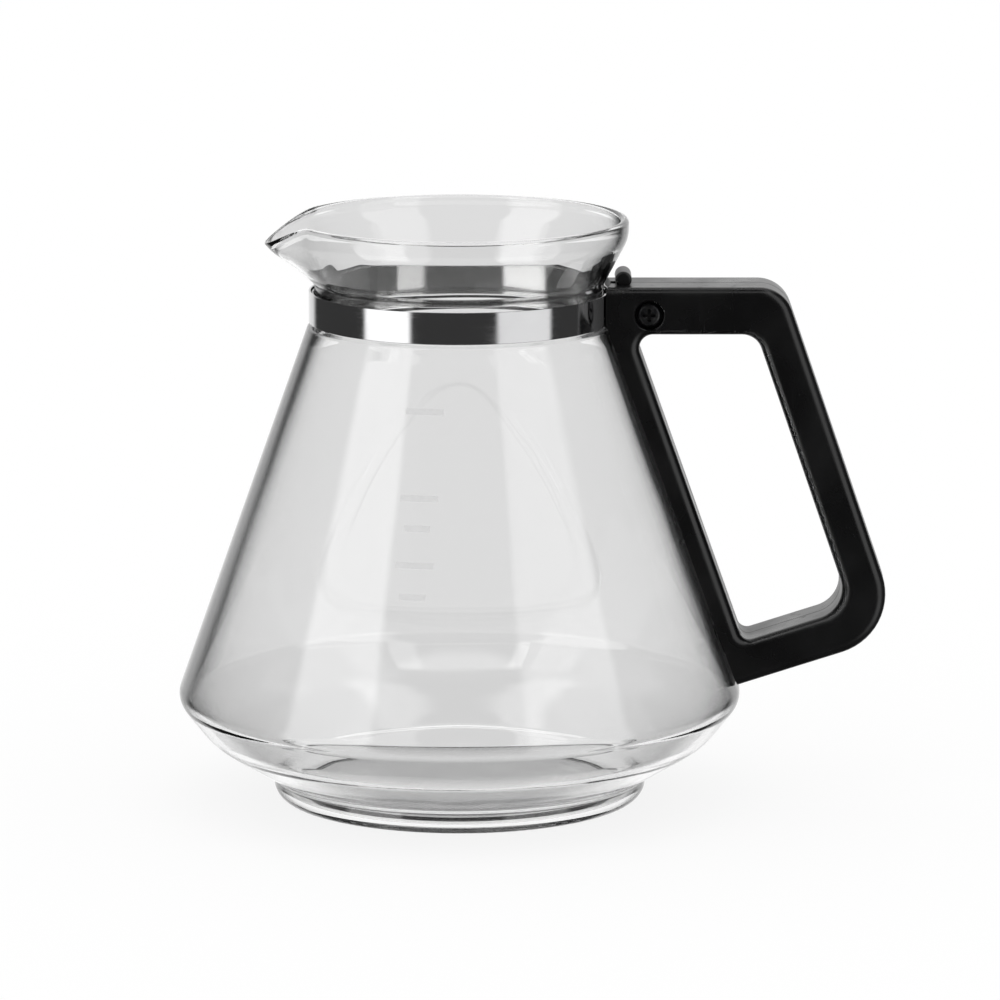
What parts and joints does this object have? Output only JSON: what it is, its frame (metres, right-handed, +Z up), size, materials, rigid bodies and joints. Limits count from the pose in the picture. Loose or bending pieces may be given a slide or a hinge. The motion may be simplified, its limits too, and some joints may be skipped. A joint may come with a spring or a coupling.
{
  "type": "glass coffee decanter",
  "caption": "Open glass coffee decanter with a cone body on a stepped foot, a pouring lip, and a closed-loop handle held to the neck by a screwed steel band.",
  "frame": {"origin": "on the vessel's axis, at the flat face it stands on", "axes": "+Z up along the vessel's axis, +X towards the handle and -X towards the pouring lip, Y along the clamp screw with its head towards -Y"},
  "size_m": [0.2072, 0.165, 0.172],
  "materials": {
    "glass": "clear, fire polished",
    "clear_silicone": "translucent, satin",
    "polished_steel": "polished stainless steel",
    "handle_plastic": "black, heat resistant, semi gloss",
    "pad_rubber": "black, matte",
    "blackened_steel": "blackened steel, satin",
    "plated_steel": "zinc plated, satin",
    "level_print": "grey fired enamel, the level marks on the glass"
  },
  "bodies": {
    "decanter": {"glass_vessel": "glass", "band_liner": "clear_silicone", "neck_band": "polished_steel", "handle": "handle_plastic", "handle_pad": "pad_rubber", "lock_washer": "plated_steel", "clamp_nut": "plated_steel"},
    "washer": {"screw_washer": "blackened_steel"},
    "screw": {"clamp_screw": "blackened_steel"}
  },
  "joints": [
    {"name": "screw_travel", "type": "slide", "parent": "decanter", "child": "washer", "axis": [0, -1, 0], "range_m": [0, 0.0035]},
    {"name": "screw_turn", "type": "hinge", "parent": "washer", "child": "screw", "pos_m": [0.0552, 0, 0.145], "axis": [0, -1, 0], "range_deg": [0, 1800]}
  ],
  "couplings": [
    {"joint": "screw_turn", "follows": "screw_travel", "rad_per_m": 8976}
  ]
}
